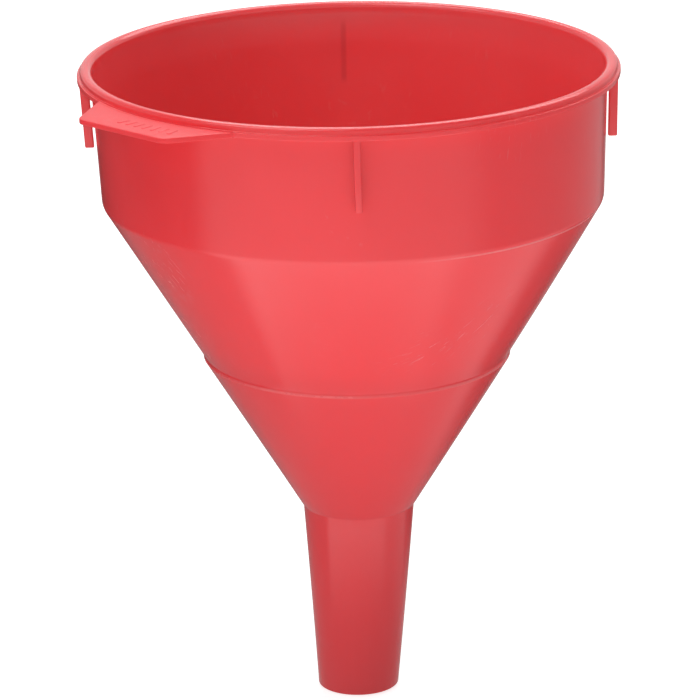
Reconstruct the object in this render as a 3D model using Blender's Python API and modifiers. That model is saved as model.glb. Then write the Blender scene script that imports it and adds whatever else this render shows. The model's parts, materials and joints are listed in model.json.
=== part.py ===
"""Workshop filling funnel with a lift-out wire strainer.

The funnel is one thin-walled polyethylene moulding: a beaded rim with a grip tab and four
stacking lugs, a deep collar, a two-stage cone and a tapered spout.  A metal strainer rests on
a ledge inside the cone: a pressed hoop, a disc of wire gauze, a ring that clamps the gauze,
and a wire bail that folds down flat and stands up to lift the strainer out.

Frame: metres, +Z up along the funnel's axis, origin at the centre of the spout's lower end.
The stacking lugs lie on the X and Y axes, and the grip tab points between -X and -Y.
"""
import math

import bmesh
import bpy
from mathutils import Matrix, Vector

MM = 0.001

# Driving dimensions of the moulding
RIM_RADIUS = 80.0 * MM           # outside of the rim bead: a 160 mm funnel
HEIGHT = 195.0 * MM              # spout end to rim top
WALL = 1.6 * MM                  # collar and cone wall, measured square to the surface
SPOUT_WALL = 1.7 * MM
TURN_STEPS = 72                  # facets round the moulding

# Rim bead and the flange under it
BEAD_HEIGHT = 2.0 * MM
BEAD_OUTER_ROUND = 1.3 * MM
BEAD_INNER_ROUND = 1.2 * MM
FLANGE_RADIUS = RIM_RADIUS - 0.6 * MM
FLANGE_THICKNESS = 1.5 * MM
BEAD_BOTTOM = HEIGHT - BEAD_HEIGHT
UNDERCUT_TOP = 0.1 * MM          # the bead steps in to the flange below this depth
UNDERCUT_FOOT = 0.3 * MM
FLANGE_BOTTOM = BEAD_BOTTOM - FLANGE_THICKNESS

# Collar, cone and spout, on the outside
COLLAR_TOP_RADIUS = 76.1 * MM    # at the flange's underside
CORNER_RADIUS = 74.35 * MM       # sharp corner where collar and cone lines meet
CORNER_HEIGHT = 154.8 * MM
CORNER_ROUND = 5.0 * MM
STEP_RADIUS = 45.7 * MM          # upper cone at the step
STEP_HEIGHT = 107.2 * MM
STEP_OUT = 0.45 * MM             # the lower cone stands proud by this much
STEP_DROP = 0.6 * MM
CONE_END_RADIUS = 17.25 * MM
CONE_END_HEIGHT = 59.0 * MM
SPOUT_TOP_RADIUS = 16.7 * MM
SPOUT_SHOULDER_DROP = 0.5 * MM
SPOUT_END_RADIUS = 12.15 * MM
SPOUT_END_ROUND = 0.5 * MM

# Ledge that the strainer rests on
LEDGE_HEIGHT = 107.8 * MM
LEDGE_INNER_RADIUS = 42.2 * MM

# Stacking lugs, which hang from the flange clear of the collar
LUG_COUNT = 4
LUG_THICKNESS = 1.3 * MM
LUG_OUTER_TOP = 78.8 * MM
LUG_OUTER_BOTTOM = 78.0 * MM
LUG_WIDTH = 2.3 * MM
LUG_BOTTOM = HEIGHT - 24.1 * MM
LUG_CORNER = 0.7 * MM
LUG_OVERLAP = 0.8 * MM            # how far each lug reaches up into the flange

# Grip tab, flush with the flange
TAB_ANGLE = math.radians(-135.0)     # direction of the tab's centre line
TAB_REACH = 92.9 * MM                # axis to the tab's straight outer edge
TAB_END_HALF = 18.2 * MM
TAB_ROOT_HALF = 27.2 * MM
TAB_ROOT_REACH = 75.6 * MM
TAB_CORNER = 4.0 * MM

# Strainer
GAP = 0.3 * MM                       # between pieces that rest on each other
HOOP_RADIUS = 44.3 * MM
HOOP_WALL = 0.8 * MM
HOOP_HEIGHT = 8.0 * MM
HOOP_LIP_RADIUS = 40.1 * MM          # inner edge of the hoop's bottom lip
HOOP_BEAD = 0.5 * MM                 # extra thickness of the rolled top edge
HOOP_NECK = 0.3 * MM                 # drop from the rolled edge to the straight side
GAUZE_THICKNESS = 0.5 * MM
CLAMP_THICKNESS = 0.8 * MM
CLAMP_INNER_RADIUS = 40.4 * MM
CLAMP_EDGE = 0.2 * MM
STRAINER_STEPS = 64

# Wire bail
WIRE_RADIUS = 0.8 * MM
BAIL_HOLE_RADIUS = 1.1 * MM
BAIL_HOLE_LENGTH = 100.0 * MM        # cuts through both sides of the hoop
BAIL_HEIGHT_ABOVE_LEDGE = 5.1 * MM   # pivot line
BAIL_TIP = 45.4 * MM                 # half the wire's length along the pivot line
BAIL_LEG = 39.1 * MM                 # where the legs turn off the pivot line
BAIL_BEND = 2.5 * MM
BAIL_REACH = 33.5 * MM               # pivot line to the top of the loop

HOOP_BOTTOM = LEDGE_HEIGHT + GAP
LIP_TOP = HOOP_BOTTOM + HOOP_WALL
GAUZE_BOTTOM = LIP_TOP + GAP
CLAMP_BOTTOM = GAUZE_BOTTOM + GAUZE_THICKNESS + GAP
PIVOT_HEIGHT = LEDGE_HEIGHT + BAIL_HEIGHT_ABOVE_LEDGE
INSIDE_HOOP = HOOP_RADIUS - HOOP_WALL
GAUZE_RADIUS = INSIDE_HOOP - GAP
CLAMP_RADIUS = INSIDE_HOOP - GAP

FUNNEL_RED = (0.72, 0.055, 0.06, 1.0)
TINPLATE = (0.62, 0.62, 0.60, 1.0)
BRASS = (0.72, 0.53, 0.25, 1.0)
STEEL_WIRE = (0.66, 0.66, 0.67, 1.0)


def clear_scene():
    for obj in list(bpy.data.objects):
        bpy.data.objects.remove(obj, do_unlink=True)


def make_collection(name):
    collection = bpy.data.collections.new(name)
    bpy.context.scene.collection.children.link(collection)
    return collection


def make_material(name, color, roughness, metallic=0.0):
    material = bpy.data.materials.new(name)
    material.use_nodes = True
    shader = material.node_tree.nodes["Principled BSDF"]
    shader.inputs["Base Color"].default_value = color
    shader.inputs["Roughness"].default_value = roughness
    shader.inputs["Metallic"].default_value = metallic
    material.diffuse_color = color
    return material


def link_object(name, data, collection, material=None):
    obj = bpy.data.objects.new(name, data)
    collection.objects.link(obj)
    if material:
        obj.data.materials.append(material)
    return obj


def hide_cutter(obj):
    obj.hide_render = True
    obj.display_type = "WIRE"


# ---------------------------------------------------------------- profiles

def arc(center, radius, start_deg, end_deg, steps):
    """Points on an arc in the radius-height plane, both ends included."""
    points = []
    for i in range(steps + 1):
        angle = math.radians(start_deg + (end_deg - start_deg) * i / steps)
        points.append((center[0] + radius * math.cos(angle),
                       center[1] + radius * math.sin(angle)))
    return points


def rounded_corner(before, corner, after, radius, steps):
    """Arc of the given radius that replaces the corner of a bent line."""
    a = (Vector(before) - Vector(corner)).normalized()
    b = (Vector(after) - Vector(corner)).normalized()
    half = a.angle(b) / 2.0
    reach = radius / math.tan(half)
    center = Vector(corner) + (a + b).normalized() * (radius / math.sin(half))
    first = Vector(corner) + a * reach - center
    last = Vector(corner) + b * reach - center
    turn = first.angle_signed(last)
    points = []
    for i in range(steps + 1):
        spoke = first.copy()
        spoke.rotate(Matrix.Rotation(-turn * i / steps, 2))
        points.append(tuple(center + spoke))
    return points


def slope(radius_a, height_a, radius_b, height_b):
    """Radius gained per unit of height along a cone line."""
    return (radius_a - radius_b) / (height_a - height_b)


def across(wall, cone_slope):
    """Horizontal width of a sloping wall of the given thickness."""
    return wall * math.sqrt(1.0 + cone_slope ** 2)


def outer_profile():
    """Outside of the moulding, from the rim's top down to the spout's end."""
    round_center = (RIM_RADIUS - BEAD_OUTER_ROUND, HEIGHT - BEAD_OUTER_ROUND)
    points = arc(round_center, BEAD_OUTER_ROUND, 90.0, 0.0, 4)
    points += [(RIM_RADIUS, BEAD_BOTTOM - UNDERCUT_TOP),
               (FLANGE_RADIUS, BEAD_BOTTOM - UNDERCUT_FOOT),
               (FLANGE_RADIUS, FLANGE_BOTTOM)]
    collar_top = (COLLAR_TOP_RADIUS, FLANGE_BOTTOM)
    corner = (CORNER_RADIUS, CORNER_HEIGHT)
    step_top = (STEP_RADIUS, STEP_HEIGHT)
    points.append(collar_top)
    points += rounded_corner(collar_top, corner, step_top, CORNER_ROUND, 3)
    points += [step_top,
               (STEP_RADIUS + STEP_OUT, STEP_HEIGHT - STEP_DROP),
               (CONE_END_RADIUS, CONE_END_HEIGHT),
               (SPOUT_TOP_RADIUS, CONE_END_HEIGHT - SPOUT_SHOULDER_DROP)]
    end_center = (SPOUT_END_RADIUS - SPOUT_END_ROUND, SPOUT_END_ROUND)
    points += arc(end_center, SPOUT_END_ROUND, 0.0, -90.0, 2)
    return points


def inner_profile():
    """Inside of the moulding, from the spout's end up to the rim's top."""
    upper = slope(CORNER_RADIUS, CORNER_HEIGHT, STEP_RADIUS, STEP_HEIGHT)
    lower = slope(STEP_RADIUS + STEP_OUT, STEP_HEIGHT - STEP_DROP,
                  CONE_END_RADIUS, CONE_END_HEIGHT)
    draft = slope(COLLAR_TOP_RADIUS, FLANGE_BOTTOM, CORNER_RADIUS, CORNER_HEIGHT)
    upper_width = across(WALL, upper)
    lower_width = across(WALL, lower)
    collar_width = across(WALL, draft)

    def upper_inside(height):
        return STEP_RADIUS - upper_width + upper * (height - STEP_HEIGHT)

    def lower_inside(height):
        return CONE_END_RADIUS - lower_width + lower * (height - CONE_END_HEIGHT)

    def collar_inside(height):
        return CORNER_RADIUS - collar_width + draft * (height - CORNER_HEIGHT)

    spout_mouth = SPOUT_TOP_RADIUS - SPOUT_WALL
    mouth_height = CONE_END_HEIGHT + (spout_mouth - lower_inside(CONE_END_HEIGHT)) / lower
    ledge_foot = CONE_END_HEIGHT + (LEDGE_INNER_RADIUS - lower_inside(CONE_END_HEIGHT)) / lower
    shared = collar_inside(CORNER_HEIGHT) - upper_inside(CORNER_HEIGHT)
    corner_height = CORNER_HEIGHT + shared / (upper - draft)
    corner = (collar_inside(corner_height), corner_height)
    ledge_outer = (upper_inside(LEDGE_HEIGHT), LEDGE_HEIGHT)
    rim_center_height = HEIGHT - BEAD_INNER_ROUND
    rim_inside = (collar_inside(rim_center_height), rim_center_height)

    points = [(SPOUT_END_RADIUS - SPOUT_WALL, 0.0),
              (spout_mouth, mouth_height),
              (LEDGE_INNER_RADIUS, ledge_foot),
              (LEDGE_INNER_RADIUS, LEDGE_HEIGHT),
              ledge_outer]
    points += rounded_corner(ledge_outer, corner, rim_inside, CORNER_ROUND - WALL, 2)
    rim_center = (rim_inside[0] + BEAD_INNER_ROUND, rim_center_height)
    points += arc(rim_center, BEAD_INNER_ROUND, 180.0, 90.0, 3)
    return points


def hoop_profile():
    """Channel section of the strainer's hoop, down its outside and up its inside."""
    bottom = HOOP_BOTTOM
    top = bottom + HOOP_HEIGHT
    roll = (HOOP_WALL + HOOP_BEAD) / 2.0
    roll_center = (HOOP_RADIUS - roll + HOOP_BEAD, top - roll)
    points = arc(roll_center, roll, 180.0, -60.0, 6)
    points += [(HOOP_RADIUS, top - 2.0 * roll - HOOP_NECK)]
    foot_center = (HOOP_RADIUS - HOOP_WALL, bottom + HOOP_WALL)
    points += arc(foot_center, HOOP_WALL, 0.0, -90.0, 2)
    points += [(HOOP_LIP_RADIUS, bottom),
               (HOOP_LIP_RADIUS, LIP_TOP),
               (INSIDE_HOOP, LIP_TOP)]
    return points


def clamp_profile():
    """Flat ring with chamfered edges that holds the gauze down on the hoop's lip."""
    edge = CLAMP_EDGE
    top = CLAMP_BOTTOM + CLAMP_THICKNESS
    return [(CLAMP_INNER_RADIUS + edge, top),
            (CLAMP_RADIUS - edge, top),
            (CLAMP_RADIUS, top - edge),
            (CLAMP_RADIUS, CLAMP_BOTTOM + edge),
            (CLAMP_RADIUS - edge, CLAMP_BOTTOM),
            (CLAMP_INNER_RADIUS, CLAMP_BOTTOM),
            (CLAMP_INNER_RADIUS, top - edge)]


def turned(name, points, steps, collection, material=None):
    """Closed ring profile turned round the Z axis by a Screw modifier."""
    mesh = bpy.data.meshes.new(name)
    corners = [(radius, 0.0, height) for radius, height in points]
    count = len(corners)
    edges = [(i, (i + 1) % count) for i in range(count)]
    mesh.from_pydata(corners, edges, [])
    obj = link_object(name, mesh, collection, material)
    screw = obj.modifiers.new("turn", "SCREW")
    screw.axis = "Z"
    screw.angle = math.tau
    screw.steps = steps
    screw.render_steps = steps
    screw.use_merge_vertices = True
    screw.merge_threshold = 0.00001
    screw.use_smooth_shade = True
    return obj


# ---------------------------------------------------------------- moulding

def rounded_outline(corners, radius, steps):
    """Flat outline with its inner corners rounded; the first and last stay sharp."""
    outline = [corners[0]]
    for before, corner, after in zip(corners, corners[1:], corners[2:]):
        outline += rounded_corner(before, corner, after, radius, steps)
    outline.append(corners[-1])
    return outline


def prism(name, outline, low, high, collection):
    """Upright prism over a flat outline listed anticlockwise."""
    mesh = bpy.data.meshes.new(name)
    form = bmesh.new()
    base = form.faces.new([form.verts.new((x, y, low)) for x, y in outline])
    grown = bmesh.ops.extrude_face_region(form, geom=[base])
    risen = [item for item in grown["geom"] if isinstance(item, bmesh.types.BMVert)]
    bmesh.ops.translate(form, verts=risen, vec=(0.0, 0.0, high - low))
    bmesh.ops.recalc_face_normals(form, faces=form.faces)
    form.to_mesh(mesh)
    form.free()
    return link_object(name, mesh, collection)


def make_tab(collection):
    """Grip tab: a trapezium whose root runs into the rim's flange."""
    root = TAB_ROOT_REACH
    corners = [(root, -TAB_ROOT_HALF), (TAB_REACH, -TAB_END_HALF),
               (TAB_REACH, TAB_END_HALF), (root, TAB_ROOT_HALF)]
    outline = rounded_outline(corners, TAB_CORNER, 4)
    tab = prism("tab_form", outline, FLANGE_BOTTOM, BEAD_BOTTOM, collection)
    tab.rotation_euler = (0.0, 0.0, TAB_ANGLE)
    return tab


def make_lug(index, collection):
    """Stacking lug: a thin upright blade with one rounded lower corner."""
    top = FLANGE_BOTTOM + LUG_OVERLAP
    corners = [(LUG_OUTER_TOP - LUG_WIDTH, top),
               (LUG_OUTER_BOTTOM - LUG_WIDTH, LUG_BOTTOM),
               (LUG_OUTER_BOTTOM, LUG_BOTTOM),
               (LUG_OUTER_TOP, top)]
    outline = [corners[0], corners[1]]
    outline += rounded_corner(corners[1], corners[2], corners[3], LUG_CORNER, 3)
    outline.append(corners[3])
    half = LUG_THICKNESS / 2.0
    lug = prism("lug_form_%d" % index, outline, -half, half, collection)
    upright = Matrix.Rotation(math.radians(90.0), 4, "X")
    lug.matrix_world = Matrix.Rotation(math.tau * index / LUG_COUNT, 4, "Z") @ upright
    return lug


def join_by_boolean(target, pieces):
    for piece in pieces:
        union = target.modifiers.new("join_" + piece.name, "BOOLEAN")
        union.operation = "UNION"
        union.solver = "EXACT"
        union.object = piece
        hide_cutter(piece)


def make_funnel_body(parts, forms):
    red = make_material("funnel_red", FUNNEL_RED, 0.32)
    profile = outer_profile() + inner_profile()
    body = turned("funnel_body", profile, TURN_STEPS, parts, red)
    body.data.shade_smooth()
    pieces = [make_tab(forms)]
    pieces += [make_lug(index, forms) for index in range(LUG_COUNT)]
    join_by_boolean(body, pieces)
    return body


# ---------------------------------------------------------------- strainer

def make_bail_hole(forms):
    """Rod through both sides of the hoop on the bail's pivot line."""
    form = bmesh.new()
    placed = Matrix.Translation((0.0, 0.0, PIVOT_HEIGHT)) @ Matrix.Rotation(math.pi / 2.0, 4, "Y")
    bmesh.ops.create_cone(form, cap_ends=True, segments=16, radius1=BAIL_HOLE_RADIUS,
                          radius2=BAIL_HOLE_RADIUS, depth=BAIL_HOLE_LENGTH, matrix=placed)
    mesh = bpy.data.meshes.new("bail_hole")
    form.to_mesh(mesh)
    form.free()
    rod = link_object("bail_hole", mesh, forms)
    hide_cutter(rod)
    return rod


def make_hoop(parts, forms):
    tinplate = make_material("tinplate", TINPLATE, 0.35, 1.0)
    hoop = turned("strainer_hoop", hoop_profile(), STRAINER_STEPS, parts, tinplate)
    cut = hoop.modifiers.new("bail_holes", "BOOLEAN")
    cut.operation = "DIFFERENCE"
    cut.solver = "EXACT"
    cut.object = make_bail_hole(forms)
    return hoop


def make_gauze(parts):
    brass = make_material("brass_gauze", BRASS, 0.4, 1.0)
    bpy.ops.mesh.primitive_cylinder_add(vertices=STRAINER_STEPS, radius=GAUZE_RADIUS,
                                        depth=GAUZE_THICKNESS)
    gauze = bpy.context.active_object
    gauze.name = "strainer_gauze"
    gauze.location = (0.0, 0.0, GAUZE_BOTTOM + GAUZE_THICKNESS / 2.0)
    gauze.data.materials.append(brass)
    for collection in list(gauze.users_collection):
        collection.objects.unlink(gauze)
    parts.objects.link(gauze)
    return gauze


def make_clamp_ring(parts):
    tinplate = make_material("clamp_tinplate", TINPLATE, 0.4, 1.0)
    return turned("strainer_clamp_ring", clamp_profile(), STRAINER_STEPS, parts, tinplate)


def bail_path():
    """Half of a loop of wire in its own flat plane, from the right tip to the top."""
    bend = [(BAIL_TIP, 0.0)]
    bend_center = (BAIL_LEG + BAIL_BEND, BAIL_BEND)
    bend += arc(bend_center, BAIL_BEND, 270.0, 180.0, 5)
    loop = []
    steps = 14
    for i in range(1, steps + 1):
        angle = math.radians(90.0) * i / steps
        loop.append((BAIL_LEG * math.cos(angle),
                     BAIL_BEND + (BAIL_REACH - BAIL_BEND) * math.sin(angle)))
    return bend + loop


def make_bail(parts):
    """Wire bail, lying flat over the gauze, with its origin on the pivot line."""
    right = bail_path()
    left = [(-x, y) for x, y in reversed(right[:-1])]
    points = right + left
    curve = bpy.data.curves.new("strainer_bail", "CURVE")
    curve.dimensions = "3D"
    curve.bevel_depth = WIRE_RADIUS
    curve.bevel_resolution = 2
    curve.use_fill_caps = True
    wire = curve.splines.new("POLY")
    wire.points.add(len(points) - 1)
    for point, (x, y) in zip(wire.points, points):
        point.co = (x, y, 0.0, 1.0)
    steel = make_material("bail_wire", STEEL_WIRE, 0.25, 1.0)
    bail = link_object("strainer_bail", curve, parts, steel)
    bail.location = (0.0, 0.0, PIVOT_HEIGHT)
    return bail


def build():
    clear_scene()
    parts = make_collection("funnel")
    forms = make_collection("forms")
    make_funnel_body(parts, forms)
    make_hoop(parts, forms)
    make_gauze(parts)
    make_clamp_ring(parts)
    make_bail(parts)


build()
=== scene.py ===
"""Looks for the workshop filling funnel with its lift-out wire strainer.

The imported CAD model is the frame.  The moulding and the strainer's pieces are built again here as
fine meshes on the frame's own measures, with moulded plastic, tinplate, brass and wire finishes.
"""
import json
import math

import bmesh
import bpy
import numpy as np
from mathutils import Matrix, Vector


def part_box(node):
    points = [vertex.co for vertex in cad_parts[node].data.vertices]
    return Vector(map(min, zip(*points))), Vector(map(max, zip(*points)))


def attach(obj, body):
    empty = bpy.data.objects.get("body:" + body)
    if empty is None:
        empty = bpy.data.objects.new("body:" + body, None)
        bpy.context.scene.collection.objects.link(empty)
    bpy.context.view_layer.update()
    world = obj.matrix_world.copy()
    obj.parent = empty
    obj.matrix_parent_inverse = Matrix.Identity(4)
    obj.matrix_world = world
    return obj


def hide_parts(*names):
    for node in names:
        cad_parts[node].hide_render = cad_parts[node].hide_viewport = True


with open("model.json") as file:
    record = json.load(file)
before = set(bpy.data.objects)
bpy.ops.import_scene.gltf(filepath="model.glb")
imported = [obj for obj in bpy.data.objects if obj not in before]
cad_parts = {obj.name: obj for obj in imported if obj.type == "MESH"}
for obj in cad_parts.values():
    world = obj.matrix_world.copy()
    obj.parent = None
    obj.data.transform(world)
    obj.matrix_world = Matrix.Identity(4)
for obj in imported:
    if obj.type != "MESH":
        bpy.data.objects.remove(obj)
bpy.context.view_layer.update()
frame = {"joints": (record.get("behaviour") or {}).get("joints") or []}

MM = 0.001

# ------------------------------ measures from the frame

_, funnel_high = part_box("funnel_body")
hoop_low, hoop_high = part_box("strainer_hoop")
gauze_low, gauze_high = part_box("strainer_gauze")
clamp_low, clamp_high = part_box("strainer_clamp_ring")
bail_low, bail_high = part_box("strainer_bail")
bail_joint = next(joint for joint in frame["joints"] if joint["name"] == "bail_fold")

HEIGHT = funnel_high.z
RIM_RADIUS = funnel_high.x
PIVOT_HEIGHT = bail_joint["pos_m"][2]
SEAT_HEIGHT = hoop_low.z - 0.3 * MM      # top of the ledge, this far under the hoop

# ------------------------------ the moulding's section

WALL = 1.6 * MM
SPOUT_WALL = 1.7 * MM
BEAD_BOTTOM = HEIGHT - 2.0 * MM
BEAD_SIDE = RIM_RADIUS - 0.9 * MM
BEAD_INNER_ROUND = 1.6 * MM
BEAD_OUTER_ROUND = 1.1 * MM
BEAD_TILT = math.radians(20.0)           # slope at the two ends of the bead's domed top
RIM_INNER = RIM_RADIUS - 4.5 * MM
FLANGE_BOTTOM = BEAD_BOTTOM - 1.5 * MM
FLANGE_EDGE = RIM_RADIUS - 0.05 * MM
FLANGE_START = BEAD_SIDE + 0.25 * MM     # where the flange's flat top starts, out from the bead
EDGE_ROUND = 0.25 * MM

# Points of the outside, as (radius, height)
COLLAR_TOP = (76.1 * MM, FLANGE_BOTTOM)
CORNER = (74.35 * MM, 154.8 * MM)
STEP = (45.7 * MM, 107.2 * MM)
STEP_OUT = 0.2 * MM                      # the lower cone starts this far out
STEP_DROP = 1.1 * MM                     # and this far down
LOWER_CONE_TOP = (STEP[0] + STEP_OUT, STEP[1] - STEP_DROP)
CONE_END = (17.25 * MM, 59.0 * MM)
SPOUT_TOP = (16.7 * MM, 58.3 * MM)
SPOUT_END = (12.15 * MM, 0.0)
LEDGE_INNER = 42.2 * MM                  # radius of the strainer's ledge at its lip

TAB_ANGLE = math.radians(-135.0)
TAB_REACH = 92.9 * MM
TAB_END_HALF = 17.3 * MM
TAB_ROOT = (75.6 * MM, 27.2 * MM)        # where its sides start: along and off its middle
TAB_CORNER = 4.0 * MM
TAB_SPREAD = math.radians(22.0)          # half the turn that gets closer upright lines

RIB_COUNT = 7
RIB_STEP = math.radians(2.1)
RIB_SHIFT = math.radians(3.0)            # the ribs sit off the tab's middle, towards -Y
RIB_HALF = math.radians(0.27)
RIB_SLOPE = math.radians(0.12)
RIB_HEIGHT = 0.2 * MM
RIB_START = 0.38                         # share of the way from the bead to the tab's edge
RIB_STOP = 0.70
RIB_END = 0.02                           # share of that way over which a rib's ends slope

LUG_COUNT = 4
LUG_HALF = 1.05 * MM
LUG_TAPER = 0.92                         # a lug's width at its foot, as a share of its width
LUG_OUTER = 79.5 * MM
LUG_INNER = 76.8 * MM
LUG_LEAN = 0.8 * MM                      # the lugs follow the collar's draft
LUG_BOTTOM = HEIGHT - 24.4 * MM
LUG_BEVEL = 0.4 * MM
LUG_TURN = math.asin(LUG_HALF / LUG_OUTER)   # half of what a lug takes up of the round

# How far the moulding is from true
AXIS_BOW = 1.15 * MM                     # its axis bows by this much at both ends
AXIS_LEAN = 0.3 * MM                     # and leans by this much, top to -X, foot to +X
RIM_SQUEEZE = 0.3 * MM                   # the rim is narrower by this much along X
RIM_TILT = 0.3 * MM                      # the rim stands higher by this much at its middle
WARP_START = 118.0 * MM                  # the squeeze and the tilt grow from here up

ROW_STEP = 4.0 * MM                      # longest stretch between rings of the wall


# ------------------------------ small helpers

def arc(center, radius, start_deg, end_deg, steps):
    """Points on an arc in the radius-height plane, both ends included."""
    points = []
    for i in range(steps + 1):
        angle = math.radians(start_deg + (end_deg - start_deg) * i / steps)
        points.append((center[0] + radius * math.cos(angle),
                       center[1] + radius * math.sin(angle)))
    return points


def rounded_corner(before, corner, after, radius, steps):
    """Arc of the given radius that replaces the corner of a bent line."""
    a = (Vector(before) - Vector(corner)).normalized()
    b = (Vector(after) - Vector(corner)).normalized()
    half = a.angle(b) / 2.0
    reach = radius / math.tan(half)
    center = Vector(corner) + (a + b).normalized() * (radius / math.sin(half))
    first = Vector(corner) + a * reach - center
    last = Vector(corner) + b * reach - center
    turn = first.angle_signed(last)
    points = []
    for i in range(steps + 1):
        spoke = first.copy()
        spoke.rotate(Matrix.Rotation(-turn * i / steps, 2))
        points.append(tuple(center + spoke))
    return points


def spaced(points, longest):
    """The same line with extra points, so that no stretch is longer than longest."""
    result = [points[0]]
    for start, end in zip(points, points[1:]):
        length = math.dist(start, end)
        pieces = max(1, math.ceil(length / longest - 1e-6))
        for i in range(1, pieces + 1):
            share = i / pieces
            result.append((start[0] + (end[0] - start[0]) * share,
                           start[1] + (end[1] - start[1]) * share))
    return result


def smooth_share(value, low, high):
    """0 below low, 1 above high, and a smooth rise between."""
    share = np.clip((value - low) / (high - low), 0.0, 1.0)
    return share * share * (3.0 - 2.0 * share)


def cone_slope(lower, upper):
    """Radius gained per unit of height between two points of the section."""
    return (upper[0] - lower[0]) / (upper[1] - lower[1])


def inset(point, wall, slope_value):
    """The point moved inwards so that the wall keeps its thickness."""
    return (point[0] - wall * math.sqrt(1.0 + slope_value ** 2), point[1])


def crossing(point_a, slope_a, point_b, slope_b):
    """Where two sloping lines of the section meet."""
    height = ((point_b[0] - slope_b * point_b[1]) - (point_a[0] - slope_a * point_a[1]))
    height /= slope_a - slope_b
    return (point_a[0] + slope_a * (height - point_a[1]), height)


def on_line(point, slope_value, height):
    """The point at this height on the sloping line through a point."""
    return (point[0] + slope_value * (height - point[1]), height)


def mesh_object(name, verts, faces):
    """Object made from lists of points and faces."""
    mesh = bpy.data.meshes.new(name)
    mesh.from_pydata([tuple(v) for v in verts], [], faces)
    mesh.validate()
    obj = bpy.data.objects.new(name, mesh)
    bpy.context.scene.collection.objects.link(obj)
    return obj


def link_form(name, form):
    """Object made from a bmesh, which is freed."""
    mesh = bpy.data.meshes.new(name)
    form.to_mesh(mesh)
    form.free()
    obj = bpy.data.objects.new(name, mesh)
    bpy.context.scene.collection.objects.link(obj)
    return obj


def smooth_with_sharp(obj, degrees):
    """Smooth shading, broken at edges sharper than the angle."""
    obj.data.shade_smooth()
    obj.data.set_sharp_from_angle(angle=math.radians(degrees))


def turned_rings(name, profile, steps):
    """A closed section turned into a ring mesh; the section runs down its outer side."""
    verts = []
    for i in range(steps):
        angle = math.tau * i / steps
        for radius, height in profile:
            verts.append((radius * math.cos(angle), radius * math.sin(angle), height))
    count = len(profile)
    faces = []
    for i in range(steps):
        j = (i + 1) % steps
        for k in range(count):
            m = (k + 1) % count
            faces.append((i * count + k, i * count + m, j * count + m, j * count + k))
    return mesh_object(name, verts, faces)


# ------------------------------ the moulding

def tab_outline():
    """Outline of the grip tab, seen from above, about its own centre line."""
    root = (TAB_ROOT[0], -TAB_ROOT[1])
    near = (TAB_REACH, -TAB_END_HALF)
    far = (TAB_REACH, TAB_END_HALF)
    end = (TAB_ROOT[0], TAB_ROOT[1])
    outline = [root]
    outline += rounded_corner(root, near, far, TAB_CORNER, 8)
    outline += rounded_corner(near, far, end, TAB_CORNER, 8)
    outline.append(end)
    return outline


def outline_radius(outline, angle):
    """Distance from the axis to the outline along a ray, or 0 if the ray misses it."""
    ray = Vector((math.cos(angle), math.sin(angle)))
    farthest = 0.0
    for start, end in zip(outline, outline[1:]):
        a = Vector(start)
        along = Vector(end) - a
        cross = ray.x * along.y - ray.y * along.x
        if abs(cross) < 1e-12:
            continue
        distance = (a.x * along.y - a.y * along.x) / cross
        share = (a.x * ray.y - a.y * ray.x) / cross
        if distance > 0.0 and -1e-9 <= share <= 1.0 + 1e-9:
            farthest = max(farthest, distance)
    return farthest


def wrapped(angle):
    """The angle brought into the half-open turn from -pi to pi."""
    return (angle + math.pi) % math.tau - math.pi


def rib_centers():
    """Each rib's turn from the tab's middle."""
    return [RIB_SHIFT + (i - (RIB_COUNT - 1) / 2.0) * RIB_STEP for i in range(RIB_COUNT)]


def rib_edges():
    """Turns from the tab's middle to both top edges and both feet of every rib."""
    edges = []
    for center in rib_centers():
        for side in (-1.0, 1.0):
            edges.append(center + side * RIB_HALF)
            edges.append(center + side * (RIB_HALF + RIB_SLOPE))
    return edges


def turn_angles():
    """Angles of the moulding's upright lines: closer together on the tab and at the lugs."""
    wide_step = math.radians(1.5)
    fine_step = math.radians(0.4)
    lug_step = math.tau / LUG_COUNT
    kept = []
    for i in range(round(math.tau / wide_step)):
        angle = wrapped(i * wide_step)
        on_tab = abs(wrapped(angle - TAB_ANGLE)) < TAB_SPREAD
        off_lug = abs((angle + lug_step / 2.0) % lug_step - lug_step / 2.0)
        if not on_tab and off_lug > wide_step / 2.0:
            kept.append(angle)
    for i in range(LUG_COUNT):
        kept += [wrapped(lug_step * i - LUG_TURN), wrapped(lug_step * i + LUG_TURN)]

    edges = rib_edges()
    count = round(2.0 * TAB_SPREAD / fine_step)
    for i in range(count + 1):
        offset = -TAB_SPREAD + 2.0 * TAB_SPREAD * i / count
        if min(abs(offset - edge) for edge in edges) > 0.4 * fine_step:
            kept.append(wrapped(TAB_ANGLE + offset))
    kept += [wrapped(TAB_ANGLE + edge) for edge in edges]
    return np.array(sorted(kept))


def even_rings(points, turns):
    """One ring for each (radius, height) point, the same all round."""
    flat = np.ones(turns)
    return [(radius * flat, height * flat) for radius, height in points]


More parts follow.
